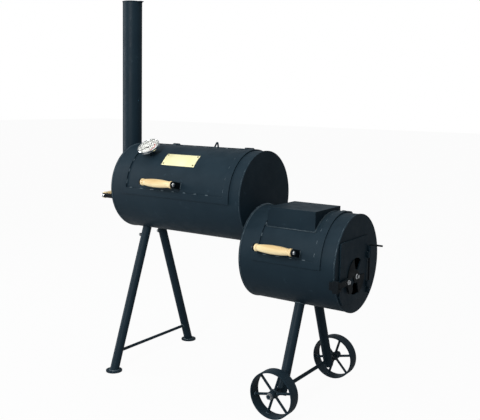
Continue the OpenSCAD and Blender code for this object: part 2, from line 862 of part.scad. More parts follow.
module right_legs() {
    lean = (right_leg_axle_y - right_leg_top_y) / (right_leg_top_z - axle_z);
    function at(side, z) = [right_leg_x, side * (right_leg_axle_y - lean * (z - axle_z)), z];
    color("#20292c") translate([join_x, 0, 0]) for (side = [-1, 1]) difference() {
        strut(at(side, axle_z - 24), at(side, 470), leg_r);
        strut(at(side, axle_z - 40), at(side, 480), leg_r - leg_wall);
        translate([right_leg_x, 0, axle_z]) rod_y(-axle_half, axle_half, axle_r + fit);
        translate([0, 0, firebox_z]) rod_x(right_leg_x - 60, right_leg_x + 60, pipe_r);
    }
}

module at_axle() { translate([join_x + right_leg_x, 0, axle_z]) children(); }

module axle() {
    color("#2a3033") at_axle() rod_y(-axle_half, axle_half, axle_r);
}

module axle_washers() {
    color("#8d9294") at_axle() for (side = [-1, 1]) {
        difference() {
            translate([0, side * (wheel_y + hub_len / 2 + 2), 0]) rod_y(-1.5, 1.5, 14);
            rod_y(-axle_half - 5, axle_half + 5, axle_r + fit);
        }
        difference() {
            translate([0, side * (wheel_y - hub_len / 2 - 2), 0]) rod_y(-1.5, 1.5, 14);
            rod_y(-axle_half - 5, axle_half + 5, axle_r + fit);
        }
        difference() {
            translate([0, side * (wheel_y + hub_len / 2 + 7.5), 0]) rotate([90, 0, 0])
                cylinder(h = 7, r = 13, center = true, $fn = 6);
            rod_y(-axle_half - 5, axle_half + 5, axle_r + fit);
        }
    }
}

module wheel(side) {
    rim_r = wheel_d / 2;
    color("#20292c") at_axle() translate([0, side * wheel_y, 0]) {
        difference() {
            union() {
                difference() {
                    rod_y(-wheel_w / 2, wheel_w / 2, rim_r);
                    rod_y(-wheel_w, wheel_w, rim_r - rim_t);
                }
                rod_y(-hub_len / 2, hub_len / 2, hub_r);
                for (i = [0:5]) rotate([0, 60 * i + 17, 0])
                    cylinder(h = rim_r - rim_t / 2, r = spoke_r);
            }
            rod_y(-hub_len, hub_len, axle_r + fit);
        }
    }
}

module front_wheel() { wheel(-1); }
module back_wheel() { wheel(1); }

chamber_shell();
chamber_left_end_plate();
chamber_right_end_plate();
chamber_lid_panel();
chamber_lid_strips();
chamber_lid_knuckles();
chamber_hinge_knuckles();
chamber_hinge_pins();
lid_stop_loop();
chamber_handle_lugs();
chamber_handle_grip();
chamber_handle_bolt();
thermometer_stem();
thermometer_case();
thermometer_dial();
thermometer_needle();
thermometer_glass();
nameplate();
nameplate_rivets();
carry_handle_bars();
carry_handle_grip();
carry_handle_bolt();
stack_inlet();
stack_tube();
stack_flap();
stack_flap_pivot();
leg_stubs();
left_leg_front();
left_leg_back();
leg_set_screws();
feet();
leg_brace();
cooking_grate();
grate_rails();
firebox_shell();
firebox_left_end_plate();
firebox_right_end_plate();
firebox_lid_panel();
firebox_lid_strips();
firebox_lid_knuckles();
firebox_hinge_knuckles();
firebox_hinge_pins();
hot_plate_box();
firebox_handle_lugs();
firebox_handle_grip();
firebox_handle_bolt();
fire_grate();
door();
door_hinge_knuckles();
door_hinge_pin();
latch_lever();
latch_bolt();
latch_keeper();
vent_butterfly();
vent_knob();
right_legs();
axle();
axle_washers();
front_wheel();
back_wheel();
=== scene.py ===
import json
import math
import random

import bpy
from mathutils import Matrix, Vector


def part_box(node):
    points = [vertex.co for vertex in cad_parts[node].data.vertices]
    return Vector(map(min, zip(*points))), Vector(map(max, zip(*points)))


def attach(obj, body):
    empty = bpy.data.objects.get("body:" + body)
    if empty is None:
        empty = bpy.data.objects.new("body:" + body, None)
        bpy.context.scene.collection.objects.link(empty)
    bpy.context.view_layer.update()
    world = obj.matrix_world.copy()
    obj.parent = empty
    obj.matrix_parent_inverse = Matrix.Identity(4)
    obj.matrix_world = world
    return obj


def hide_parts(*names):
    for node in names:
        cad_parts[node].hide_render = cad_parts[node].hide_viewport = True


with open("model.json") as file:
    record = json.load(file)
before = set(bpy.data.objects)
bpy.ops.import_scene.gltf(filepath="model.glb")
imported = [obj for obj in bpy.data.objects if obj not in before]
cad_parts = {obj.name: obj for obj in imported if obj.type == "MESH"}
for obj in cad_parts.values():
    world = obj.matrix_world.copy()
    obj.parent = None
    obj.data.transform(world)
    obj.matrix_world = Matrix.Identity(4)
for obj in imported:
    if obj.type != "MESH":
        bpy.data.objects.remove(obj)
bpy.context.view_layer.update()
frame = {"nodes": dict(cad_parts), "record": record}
scene = bpy.context.scene
random.seed(11)

# sizes of the CAD model, in metres
JOIN_X = 0.1965
CHAMBER_Z = 0.853
FIREBOX_Z = 0.619
PIPE_R = 0.2032
SKIN_R = 0.2037
STRIP_R = 0.2087
CHAMBER_LEN = 0.732
FIREBOX_LEN = 0.451
STRIP_W = 0.030


# ---- camera, light and stage ------------------------------------------------

def add_camera():
    data = bpy.data.cameras.new("camera")
    data.sensor_width = 36
    data.lens = 54.52
    data.shift_x = -0.0063
    data.shift_y = -0.0531
    data.clip_end = 100
    camera = bpy.data.objects.new("camera", data)
    scene.collection.objects.link(camera)
    yaw, pitch, roll = 0.58530, 0.11552, 0.01908
    forward = Vector((-math.sin(yaw) * math.cos(pitch), math.cos(yaw) * math.cos(pitch), -math.sin(pitch)))
    right = forward.cross(Vector((0, 0, 1))).normalized()
    up = right.cross(forward)
    right2 = right * math.cos(roll) + up * math.sin(roll)
    up2 = up * math.cos(roll) - right * math.sin(roll)
    turn = Matrix((right2, up2, -forward)).transposed().to_4x4()
    place = Vector((1.67514 + JOIN_X, -2.70760, 1.27683))
    camera.matrix_world = Matrix.Translation(place) @ turn
    scene.camera = camera


def add_light(name, place, target, size, power, colour):
    data = bpy.data.lights.new(name, "AREA")
    data.shape = "RECTANGLE"
    data.size, data.size_y = size
    data.energy = power
    data.color = colour
    light = bpy.data.objects.new(name, data)
    scene.collection.objects.link(light)
    light.location = place
    light.rotation_euler = (Vector(target) - Vector(place)).to_track_quat("-Z", "Y").to_euler()


def seen_ray(nodes, links):
    """A value that is 1 for rays that show the background: seen directly or through glass."""
    path = nodes.new("ShaderNodeLightPath")
    first = nodes.new("ShaderNodeMath")
    first.operation = "MAXIMUM"
    links.new(path.outputs["Is Camera Ray"], first.inputs[0])
    links.new(path.outputs["Is Transmission Ray"], first.inputs[1])
    return path, first


def add_world():
    world = bpy.data.worlds.new("world")
    scene.world = world
    world.use_nodes = True
    nodes, links = world.node_tree.nodes, world.node_tree.links
    nodes.clear()
    out = nodes.new("ShaderNodeOutputWorld")
    mix = nodes.new("ShaderNodeMixShader")
    soft = nodes.new("ShaderNodeBackground")
    soft.inputs["Color"].default_value = (0.93, 0.97, 1.0, 1)
    soft.inputs["Strength"].default_value = 0.36
    white = nodes.new("ShaderNodeBackground")
    white.inputs["Color"].default_value = (1, 1, 1, 1)
    white.inputs["Strength"].default_value = 1
    _, seen = seen_ray(nodes, links)
    links.new(seen.outputs[0], mix.inputs[0])
    links.new(soft.outputs[0], mix.inputs[1])
    links.new(white.outputs[0], mix.inputs[2])
    links.new(mix.outputs[0], out.inputs[0])


def add_floor():
    size = 30
    data = bpy.data.meshes.new("floor")
    data.from_pydata([(-size, -size, 0), (size, -size, 0), (size, size, 0), (-size, size, 0)], [], [(0, 1, 2, 3)])
    floor = bpy.data.objects.new("floor", data)
    scene.collection.objects.link(floor)
    material = bpy.data.materials.new("floor_white")
    material.use_nodes = True
    nodes, links = material.node_tree.nodes, material.node_tree.links
    nodes.clear()
    out = nodes.new("ShaderNodeOutputMaterial")
    mix = nodes.new("ShaderNodeMixShader")
    matt = nodes.new("ShaderNodeBsdfDiffuse")
    matt.inputs["Color"].default_value = (0.5, 0.5, 0.5, 1)
    white = nodes.new("ShaderNodeEmission")
    white.inputs["Color"].default_value = (1, 1, 1, 1)
    white.inputs["Strength"].default_value = 1
    _, seen = seen_ray(nodes, links)
    part = nodes.new("ShaderNodeMath")
    part.operation = "MULTIPLY"
    part.inputs[1].default_value = 0.96
    links.new(seen.outputs[0], part.inputs[0])
    links.new(part.outputs[0], mix.inputs[0])
    links.new(matt.outputs[0], mix.inputs[1])
    links.new(white.outputs[0], mix.inputs[2])
    links.new(mix.outputs[0], out.inputs[0])
    data.materials.append(material)


# ---- materials --------------------------------------------------------------

class Shader:
    """A Principled material whose colour, roughness and bump come from procedural nodes."""

    def __init__(self, name, metallic=0.0, specular=0.5, coat=0.0, coat_rough=0.1):
        self.material = bpy.data.materials.new(name)
        self.material.use_nodes = True
        self.nodes = self.material.node_tree.nodes
        self.links = self.material.node_tree.links
        self.shader = self.nodes["Principled BSDF"]
        self.shader.inputs["Metallic"].default_value = metallic
        self.shader.inputs["Specular IOR Level"].default_value = specular
        self.shader.inputs["Coat Weight"].default_value = coat
        self.shader.inputs["Coat Roughness"].default_value = coat_rough
        self.place = self.nodes.new("ShaderNodeTexCoord").outputs["Object"]

    def stretched(self, scale):
        mapping = self.nodes.new("ShaderNodeMapping")
        mapping.inputs["Scale"].default_value = scale
        self.links.new(self.place, mapping.inputs["Vector"])
        return mapping.outputs[0]

    def noise(self, scale, detail=4, stretch=None, distortion=0.0):
        node = self.nodes.new("ShaderNodeTexNoise")
        node.inputs["Scale"].default_value = scale
        node.inputs["Detail"].default_value = detail
        node.inputs["Distortion"].default_value = distortion
        self.links.new(self.stretched(stretch) if stretch else self.place, node.inputs["Vector"])
        return node.outputs["Fac"]

    def ramp(self, value, stops):
        node = self.nodes.new("ShaderNodeValToRGB")
        while len(node.color_ramp.elements) < len(stops):
            node.color_ramp.elements.new(0.5)
        for element, (spot, colour) in zip(node.color_ramp.elements, stops):
            element.position = spot
            element.color = (*colour, 1)
        self.links.new(value, node.inputs[0])
        return node.outputs[0]

    def spread(self, value, low, high, start=0.3, end=0.7):
        node = self.nodes.new("ShaderNodeMapRange")
        for key, number in zip(("From Min", "From Max", "To Min", "To Max"), (start, end, low, high)):
            node.inputs[key].default_value = number
        self.links.new(value, node.inputs["Value"])
        return node.outputs[0]

    def mixed(self, factor, first, second):
        node = self.nodes.new("ShaderNodeMix")
        node.data_type = "RGBA"
        self.links.new(factor, node.inputs[0])
        for socket, value in ((node.inputs[6], first), (node.inputs[7], second)):
            if isinstance(value, tuple):
                socket.default_value = (*value, 1)
            else:
                self.links.new(value, socket)
        return node.outputs[2]

    def upward(self):
        """1 on faces that look up, 0 on the others."""
        geometry = self.nodes.new("ShaderNodeNewGeometry")
        split = self.nodes.new("ShaderNodeSeparateXYZ")
        self.links.new(geometry.outputs["Normal"], split.inputs[0])
        return self.spread(split.outputs[2], 0, 1, 0.0, 1.0)

    def times(self, first, second):
        node = self.nodes.new("ShaderNodeMath")
        node.operation = "MULTIPLY"
        for socket, value in zip(node.inputs, (first, second)):
            if isinstance(value, float):
                socket.default_value = value
            else:
                self.links.new(value, socket)
        return node.outputs[0]

    def bump(self, height, strength, depth, under=None):
        node = self.nodes.new("ShaderNodeBump")
        node.inputs["Strength"].default_value = strength
        node.inputs["Distance"].default_value = depth
        self.links.new(height, node.inputs["Height"])
        if under:
            self.links.new(under, node.inputs["Normal"])
        return node.outputs[0]

    def done(self, colour, rough, normal):
        self.links.new(colour, self.shader.inputs["Base Color"])
        self.links.new(rough, self.shader.inputs["Roughness"])
        self.links.new(normal, self.shader.inputs["Normal"])
        return self.material


def black_paint(name, dark, light, top_light, rough, specular=0.4):
    s = Shader(name, specular=specular)
    cloud = s.noise(5, 5)
    speck = s.noise(260, 3)
    colour = s.ramp(cloud, [(0.3, dark), (0.72, light)])
    # upward faces are mixed, in noisy patches, towards a lighter colour: painted light from above
    colour = s.mixed(s.times(s.upward(), s.spread(s.noise(13, 6), 0.25, 0.9)), colour, top_light)
    scuffs = s.spread(s.noise(38, 8, distortion=0.6), 0.0, 0.55, 0.66, 0.80)
    colour = s.mixed(scuffs, colour, tuple(1.9 * c + 0.01 for c in light))
    roughness = s.spread(s.noise(24, 6), rough[0], rough[1])
    grain = s.bump(speck, 0.35, 0.0003)
    return s.done(colour, roughness, s.bump(s.noise(42, 3), 0.25, 0.0006, grain))


def wood(name):
    s = Shader(name, specular=0.45, coat=0.5, coat_rough=0.16)
    fibre = s.noise(90, 6, (0.06, 1, 1), 0.3)
    rings = s.noise(26, 3, (0.10, 1, 1), 0.9)
    colour = s.ramp(rings, [(0.30, (0.66, 0.45, 0.20)), (0.52, (0.84, 0.64, 0.34)), (0.78, (0.92, 0.77, 0.47))])
    pores = s.spread(fibre, 0.0, 0.8, 0.56, 0.74)
    colour = s.mixed(pores, colour, (0.62, 0.42, 0.18))
    return s.done(colour, s.spread(fibre, 0.28, 0.5), s.bump(fibre, 0.3, 0.0003))


def metal(name, dark, light, rough, stretch=(1, 1, 1), scale=90, depth=0.0002, metallic=1.0, stain=None):
    s = Shader(name, metallic=metallic)
    brushed = s.noise(scale, 5, stretch)
    cloud = s.noise(18, 4)
    colour = s.ramp(cloud, [(0.3, dark), (0.7, light)])
    if stain:
        colour = s.mixed(s.spread(s.noise(55, 7, distortion=0.4), 0.0, 0.8, 0.52, 0.72), colour, stain)
    return s.done(colour, s.spread(brushed, rough[0], rough[1]), s.bump(brushed, 0.25, depth))


def matt(name, dark, light, rough, scale=160):
    s = Shader(name, specular=0.35)
    grain = s.noise(scale, 4)
    return s.done(s.ramp(grain, [(0.3, dark), (0.7, light)]), s.spread(grain, rough[0], rough[1]),
                  s.bump(grain, 0.15, 0.0001))


def glass(name):
    s = Shader(name, specular=0.5)
    s.shader.inputs["Transmission Weight"].default_value = 1.0
    s.shader.inputs["IOR"].default_value = 1.12
    film = s.noise(30, 4)
    return s.done(s.ramp(film, [(0.3, (0.95, 0.98, 0.98)), (0.7, (1, 1, 1))]), s.spread(film, 0.01, 0.06),
                  s.bump(film, 0.03, 0.0001))


# the fourth colour of each paint is its painted top light on upward faces
PAINT = black_paint("black_paint", (0.0062, 0.0150, 0.0230), (0.0092, 0.0208, 0.0305), (0.019, 0.034, 0.046), (0.42, 0.56), 0.10)
HARD = black_paint("black_hardware", (0.0020, 0.0040, 0.0060), (0.0042, 0.0070, 0.0095), (0.008, 0.013, 0.017), (0.42, 0.6), 0.10)
# weld beads several times lighter and glossier than the body paint: a painted highlight along the rims and seams
WELD = black_paint("weld_painted_highlight", (0.0300, 0.0500, 0.0640), (0.0620, 0.0920, 0.1100), (0.095, 0.130, 0.155), (0.32, 0.46), 0.45)
# a darker copy of the weld colour for the bead round the hot plate: painted shade under the box's edge; it is still
# lighter than the body paint, a milder painted highlight like the other welds
WELD_SHADED = black_paint("weld_painted_shade", (0.0120, 0.0240, 0.0330), (0.0260, 0.0440, 0.0560), (0.040, 0.062, 0.078), (0.34, 0.5), 0.3)
WOOD = wood("beech_wood")
BRIGHT = metal("bright_steel", (0.55, 0.56, 0.57), (0.80, 0.81, 0.82), (0.18, 0.36))
BEZEL = metal("polished_bezel", (0.66, 0.67, 0.68), (0.86, 0.87, 0.88), (0.10, 0.24))
ZINC = metal("zinc_steel", (0.28, 0.29, 0.30), (0.48, 0.49, 0.50), (0.35, 0.55))
BRASS = metal("brass", (0.92, 0.85, 0.47), (0.96, 0.91, 0.58), (0.30, 0.42), (0.05, 1, 1), 300, metallic=0.2)
BRASS_RIVET = metal("brass_rivet", (0.14, 0.11, 0.06), (0.24, 0.19, 0.10), (0.3, 0.5))
STEEL_ROD = metal("grate_steel", (0.20, 0.19, 0.18), (0.38, 0.37, 0.36), (0.35, 0.6), stain=(0.06, 0.05, 0.04))
IRON = metal("grate_iron", (0.05, 0.047, 0.045), (0.11, 0.10, 0.095), (0.5, 0.75), metallic=0.6, stain=(0.10, 0.055, 0.035))
DIAL = matt("dial_face", (0.64, 0.62, 0.58), (0.72, 0.70, 0.66), (0.35, 0.5))
MARK = matt("dial_mark", (0.02, 0.02, 0.02), (0.04, 0.04, 0.045), (0.4, 0.6))
RED = matt("dial_red", (0.60, 0.14, 0.13), (0.72, 0.22, 0.19), (0.4, 0.55))
NEEDLE = matt("needle_black", (0.015, 0.015, 0.017), (0.03, 0.03, 0.032), (0.3, 0.5))
GLASS = glass("clear_glass")
SLOT_MATERIAL = {
    "black_paint": PAINT, "black_hardware": HARD, "beech_wood": WOOD, "bright_steel": BRIGHT,
    "polished_bezel": BEZEL, "dial_face": DIAL, "needle_black": NEEDLE, "clear_glass": GLASS, "brass": BRASS,
    "brass_rivet": BRASS_RIVET, "zinc_steel": ZINC, "grate_steel": STEEL_ROD, "grate_iron": IRON,
}


# ---- mesh building ----------------------------------------------------------

class Piece:
    """Collects vertices and faces, then makes one object of them."""

    def __init__(self):
        self.verts, self.faces = [], []

    def add(self, verts, faces):
        start = len(self.verts)
        self.verts += [tuple(v) for v in verts]
        self.faces += [tuple(start + i for i in face) for face in faces]

    def sweep(self, points, radii, closed=False, sides=8):
        """A round tube of varying radius along points."""
        n = len(points)
        points = [Vector(p) for p in points]
        verts, normal = [], None
        for i, p in enumerate(points):
            before = points[i - 1] if (i or closed) else p
            after = points[(i + 1) % n] if (i < n - 1 or closed) else p
            along = (after - before).normalized()
            if normal is None:
                normal = along.orthogonal().normalized()
            normal = (normal - along * normal.dot(along)).normalized()
            other = along.cross(normal)
            for k in range(sides):
                t = 2 * math.pi * k / sides
                verts.append(p + (normal * math.cos(t) + other * math.sin(t)) * radii[i])
        faces = []
        for i in range(n if closed else n - 1):
            j = (i + 1) % n
            for k in range(sides):
                m = (k + 1) % sides
                faces.append((i * sides + k, i * sides + m, j * sides + m, j * sides + k))
        if not closed:
            faces.append(tuple(range(sides))[::-1])
            faces.append(tuple((n - 1) * sides + k for k in range(sides)))
        self.add(verts, faces)

    def bead(self, points, radius, closed=False, pitch=0.0042, wander=0.0):
        """A weld bead: a ripple for each drop, a little uneven."""
        points = [Vector(p) for p in points]
        if closed:
            points.append(points[0])
        lengths = [(b - a).length for a, b in zip(points, points[1:])]
        total = sum(lengths)
        count = max(6, round(total / pitch) * 3)
        step = total / count
        path, radii, i, passed = [], [], 0, 0.0
        phase = random.uniform(0, 6)
        for k in range(count if closed else count + 1):
            s = min(k * step, total - 1e-9)
            while i < len(lengths) - 1 and passed + lengths[i] < s:
                passed += lengths[i]
                i += 1
            p = points[i].lerp(points[i + 1], (s - passed) / max(lengths[i], 1e-9))
            ripple = 0.84 + 0.16 * abs(math.sin(math.pi * s / pitch))
            r = radius * ripple * (1 + 0.10 * math.sin(phase + s * 130)) * random.uniform(0.94, 1.06)
            if not closed:
                r *= min(1.0, 0.45 + 0.3 * min(k, count - k))
            shift = Vector((random.uniform(-1, 1), random.uniform(-1, 1), random.uniform(-1, 1))) * wander
            path.append(p + shift)
            radii.append(r)
        self.sweep(path, radii, closed, 7)

    def lathe(self, profile, place, axis, sides=48):
        """Turns (distance along the axis, radius) pairs round an axis through place."""
        axis = Vector(axis).normalized()
        u = axis.orthogonal().normalized()
        w = axis.cross(u)
        verts, faces = [], []
        for along, radius in profile:
            for k in range(sides):
                t = 2 * math.pi * k / sides
                verts.append(Vector(place) + axis * along + (u * math.cos(t) + w * math.sin(t)) * max(radius, 1e-5))
        for i in range(len(profile) - 1):
            for k in range(sides):
                m = (k + 1) % sides
                faces.append((i * sides + k, i * sides + m, (i + 1) * sides + m, (i + 1) * sides + k))
        faces.append(tuple(range(sides))[::-1])
        faces.append(tuple((len(profile) - 1) * sides + k for k in range(sides)))
        self.add(verts, faces)

    def block(self, place, axes, half):
        """A box with its own axes and half sizes."""
        corners = [Vector(place) + axes[0] * a * half[0] + axes[1] * b * half[1] + axes[2] * c * half[2]
                   for a in (-1, 1) for b in (-1, 1) for c in (-1, 1)]
        self.add(corners, [(0, 1, 3, 2), (4, 6, 7, 5), (0, 4, 5, 1), (2, 3, 7, 6), (0, 2, 6, 4), (1, 5, 7, 3)])

    def make(self, name, material, body, angle=40, replaces=()):
        data = bpy.data.meshes.new(name)
        data.from_pydata(self.verts, [], self.faces)
        data.validate()
        data.materials.append(material)
        obj = bpy.data.objects.new(name, data)
        scene.collection.objects.link(obj)
        bpy.context.view_layer.objects.active = obj
        data.shade_smooth()
        limit = math.cos(math.radians(angle))
        normals = [p.normal.copy() for p in data.polygons]
        pairs = {}
        for p in data.polygons:
            for key in p.edge_keys:
                pairs.setdefault(key, []).append(p.index)
        sharp = data.attributes.new("sharp_edge", "BOOLEAN", "EDGE")
        for edge in data.edges:
            sides = pairs.get(edge.key, [])
            sharp.data[edge.index].value = len(sides) == 2 and normals[sides[0]].dot(normals[sides[1]]) < limit
        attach(obj, body)
        if replaces:
            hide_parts(*replaces)
        return obj


def on_pipe(x, angle, radius, height):
    """A point at an angle round a pipe, counted from the front over the top; x counts from the meeting plane."""
    a = math.radians(angle)
    return Vector((JOIN_X + x, -radius * math.cos(a), height + radius * math.sin(a)))


def arc(x, radius, height, start, end, step=1.0):
    count = max(3, int(abs(end - start) / step))
    return [on_pipe(x, start + (end - start) * i / count, radius, height) for i in range(count + 1)]


def ring(x, radius, height):
    return arc(x, radius, height, 0, 360)[:-1]


def saddle(start, end, radius, height, count=72):
    """The line where a tube from start to end meets the pipe at that height."""
    along = (Vector(end) - Vector(start)).normalized()
    u = along.orthogonal().normalized()
    w = along.cross(u)
    points = []
    for k in range(count):
        t = 2 * math.pi * k / count
        q = Vector(start) + (u * math.cos(t) + w * math.sin(t)) * radius
        a = along.y ** 2 + along.z ** 2
        b = 2 * (q.y * along.y + (q.z - height) * along.z)
        c = q.y ** 2 + (q.z - height) ** 2 - PIPE_R ** 2
        s = (-b - math.sqrt(b * b - 4 * a * c)) / (2 * a)
        points.append(q + along * (s - 0.0005))
    return points


# ---- added pieces -----------------------------------------------------------

def frame_welds():
    p = Piece()
    rim = PIPE_R - 0.0002
    for x, height in ((-CHAMBER_LEN + 0.0045, CHAMBER_Z), (-0.0045, CHAMBER_Z),
                      (0.0045, FIREBOX_Z), (FIREBOX_LEN - 0.0045, FIREBOX_Z)):
        p.bead(ring(x, rim, height), 0.0023, True)
    # where the two pipes' end plates meet
    half = math.degrees(math.asin(0.1661 / PIPE_R))
    p.bead(arc(-0.0008, PIPE_R + 0.0012, FIREBOX_Z, 90 - half, 90 + half), 0.0028)
    p.bead(arc(0.0008, PIPE_R + 0.0012, CHAMBER_Z, 270 - half, 270 + half), 0.0028)
    # stack
    inlet = Vector((JOIN_X - CHAMBER_LEN - 0.0006, 0, 1.006))
    p.bead([inlet + Vector((0, 0.0388 * math.cos(t), 0.0388 * math.sin(t)))
            for t in [math.radians(5 * i) for i in range(72)]], 0.0022, True)
    stack = Vector((JOIN_X - 0.785, 0, 0.9612))
    p.bead([stack + Vector((0.0468 * math.cos(t), 0.0468 * math.sin(t), 0))
            for t in [math.radians(5 * i) for i in range(72)]], 0.0017, True)
    # right legs
    for side in (-1, 1):
        start = (JOIN_X + 0.231, side * 0.204, 0.098)
        end = (JOIN_X + 0.231, side * 0.079, 0.425)
        p.bead(saddle(start, end, 0.0216, FIREBOX_Z), 0.0028, True)
    # feet and brace
    for side in (-1, 1):
        centre = Vector((JOIN_X - 0.639, side * (0.2845 - 0.3547 * 0.007), 0.0068))
        p.bead([centre + Vector((0.0217 * math.cos(t), 0.0229 * math.sin(t), 0))
                for t in [math.radians(6 * i) for i in range(60)]], 0.0024, True)
        path = []
        for i in range(36):
            t = math.radians(10 * i)
            dx, dz = 0.0075 * math.cos(t), 0.0075 * math.sin(t)
            y = 0.25364 - 0.3547 * dz - math.sqrt(0.021 ** 2 - dx ** 2) / math.cos(math.radians(19.5))
            path.append((JOIN_X - 0.639 + dx, side * (y - 0.0004), 0.087 + dz))
        p.bead(path, 0.0020, True, 0.0035)
    # carrying handle bars
    for side in (-1, 1):
        low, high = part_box("carry_handle_bars")
        y = side * 0.088
        z = 0.793
        x = JOIN_X - CHAMBER_LEN - 0.0006
        p.bead([(x, y - 0.0045, z - 0.012), (x, y + 0.0045, z - 0.012), (x, y + 0.0045, z + 0.012),
                (x, y - 0.0045, z + 0.012)], 0.0020, True, 0.0035)
    # lid stop loop
    for side in (-1, 1):
        x = JOIN_X - 0.340 + side * 0.018
        path = []
        for i in range(24):
            t = math.radians(15 * i)
            y = 0.092 + 0.0046 * math.sin(t)
            path.append((x + 0.0046 * math.cos(t), y, CHAMBER_Z + math.sqrt(PIPE_R ** 2 - y * y) + 0.0003))
        p.bead(path, 0.0016, True, 0.003)
    p.make("frame_welds", WELD, "frame")


def stitches(p, x0, x1, a0, a1, height):
    """Short welds along the inner edges of a lid's flat bars."""
    foot = math.degrees(STRIP_W / STRIP_R)
    r = SKIN_R + 0.0012
    for x in (x0 + STRIP_W + 0.0008, x1 - STRIP_W - 0.0008):
        a = a0 + foot + 5
        while a < a1 - foot - 6:
            length = random.uniform(3.6, 5.2)
            p.bead(arc(x, r, height, a, a + length, 0.6), 0.0026, wander=0.0003)
            a += 15.5
    for angle, turn in ((a0 + foot + 0.25, 1), (a1 - foot - 0.25, -1)):
        x = x0 + STRIP_W + 0.022
        while x < x1 - STRIP_W - 0.03:
            length = random.uniform(0.013, 0.019)
            p.bead([on_pipe(x + length * i / 6, angle, r, height) for i in range(7)], 0.0026, wander=0.0003)
            x += 0.062


def lug_welds(p, x, angle, height):
    """Welds at the feet of the two ears that hold a grip."""
    for side in (-1, 1):
        for face in (0.087 - 0.0005, 0.093 + 0.0005):
            p.bead(arc(x + side * face, SKIN_R + 0.0010, height, angle - 4.0, angle + 4.0, 0.6), 0.0020)


def lid_welds():
    p = Piece()
    stitches(p, -0.665, -0.057, -5, 107, CHAMBER_Z)
    lug_welds(p, -0.411, 11.3, CHAMBER_Z)
    p.make("chamber_lid_welds", WELD, "chamber_lid")
    p = Piece()
    stitches(p, 0.066, 0.387, -0.6, 114.5, FIREBOX_Z)
    lug_welds(p, 0.198, 14.3, FIREBOX_Z)
    p.make("firebox_lid_welds", WELD, "firebox_lid")
    hot_plate_weld()


def hot_plate_weld():
    """A wavy bead round the hot plate's skirts."""
    x0, x1, y0, y1 = 0.1045, 0.3325, -0.1515, 0.0765
    strip_y = -STRIP_R * math.cos(math.radians(104.5))
    def seat(y):
        radius = (STRIP_R if y > strip_y else SKIN_R) + 0.0006
        return FIREBOX_Z + math.sqrt(radius ** 2 - y * y)
    count = 44
    ys = [y0 + (y1 - y0) * i / count for i in range(count + 1)]
    path = [(JOIN_X + x0 + (x1 - x0) * i / count, y0, seat(y0)) for i in range(count)]
    path += [(JOIN_X + x1, y, seat(y)) for y in ys[:-1]]
    path += [(JOIN_X + x1 - (x1 - x0) * i / count, y1, seat(y1)) for i in range(count)]
    path += [(JOIN_X + x0, y, seat(y)) for y in ys[:0:-1]]
    waved = []
    for i, (x, y, z) in enumerate(path):
        drop = 0.0011 * math.sin(i * 0.9) + 0.0007 * math.sin(i * 2.3 + 1)
        waved.append((x + drop * 0.5, y - drop, z))
    p = Piece()
    p.bead(waved, 0.0030, True, 0.0060, 0.0005)
    # the bead takes the darker weld colour: painted shade under the hot plate box
    p.make("hot_plate_weld", WELD_SHADED, "firebox_lid")


def grips():
    profile = []
    half, waist, belly = 0.086, 0.0134, 0.0189
    ends = [(-half, 0.0041), (-half, 0.0125), (-half + 0.0008, 0.0142), (-half + 0.0025, 0.0157),
            (-half + 0.0060, 0.0161), (-half + 0.0098, 0.0158), (-half + 0.0112, 0.0146), (-half + 0.0120, 0.0130),
            (-half + 0.0132, 0.0128)]
    profile += ends
    for i in range(1, 28):
        t = -1 + i / 14
        profile.append((t * (half - 0.0146), waist + (belly - waist) * math.cos(t * math.pi / 2) ** 0.85))
    profile += [(-along, radius) for along, radius in ends[::-1]]
    for node, body, axis in (("chamber_handle_grip", "chamber_lid", (1, 0, 0)),
                             ("firebox_handle_grip", "firebox_lid", (1, 0, 0)),
                             ("carry_handle_grip", "frame", (0, 1, 0))):
        low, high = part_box(node)
        p = Piece()
        p.lathe(profile, (low + high) / 2, axis, 56)
        p.make(node.replace("_grip", "_wood"), WOOD, body, 50, (node,))
        bolt(node.replace("_grip", "_bolt"), body, (low + high) / 2, axis)


def bolt(node, body, centre, axis):
    """A through bolt with a domed head at one end and a nut at the other."""
    axis = Vector(axis)
    if axis.y:
        axis = -axis
    reach = 0.0932
    p = Piece()
    p.lathe([(-reach, 0.004), (reach, 0.004)], centre, axis, 24)
    p.lathe([(reach, 0.0086), (reach + 0.0003, 0.009), (reach + 0.0014, 0.009), (reach + 0.0017, 0.0086)],
            centre, axis, 40)
    dome = [(reach + 0.0017, 0.0080), (reach + 0.0024, 0.0084)]
    dome += [(reach + 0.0024 + 0.0044 * math.sin(t), 0.0084 * math.cos(t))
             for t in [math.radians(10 * i) for i in range(1, 10)]]
    p.lathe(dome, centre, axis, 40)
    nut = [(-reach, 0.0068), (-reach - 0.0006, 0.0075), (-reach - 0.0054, 0.0075), (-reach - 0.0060, 0.0068)]
    p.lathe(nut, centre, axis, 6)
    p.lathe([(-reach - 0.0060, 0.0038), (-reach - 0.0068, 0.0034)], centre, axis, 24)
    p.make(node + "_detail", BRIGHT, body, 30, (node,))


THERMO_X = -0.556
THERMO_A = 55


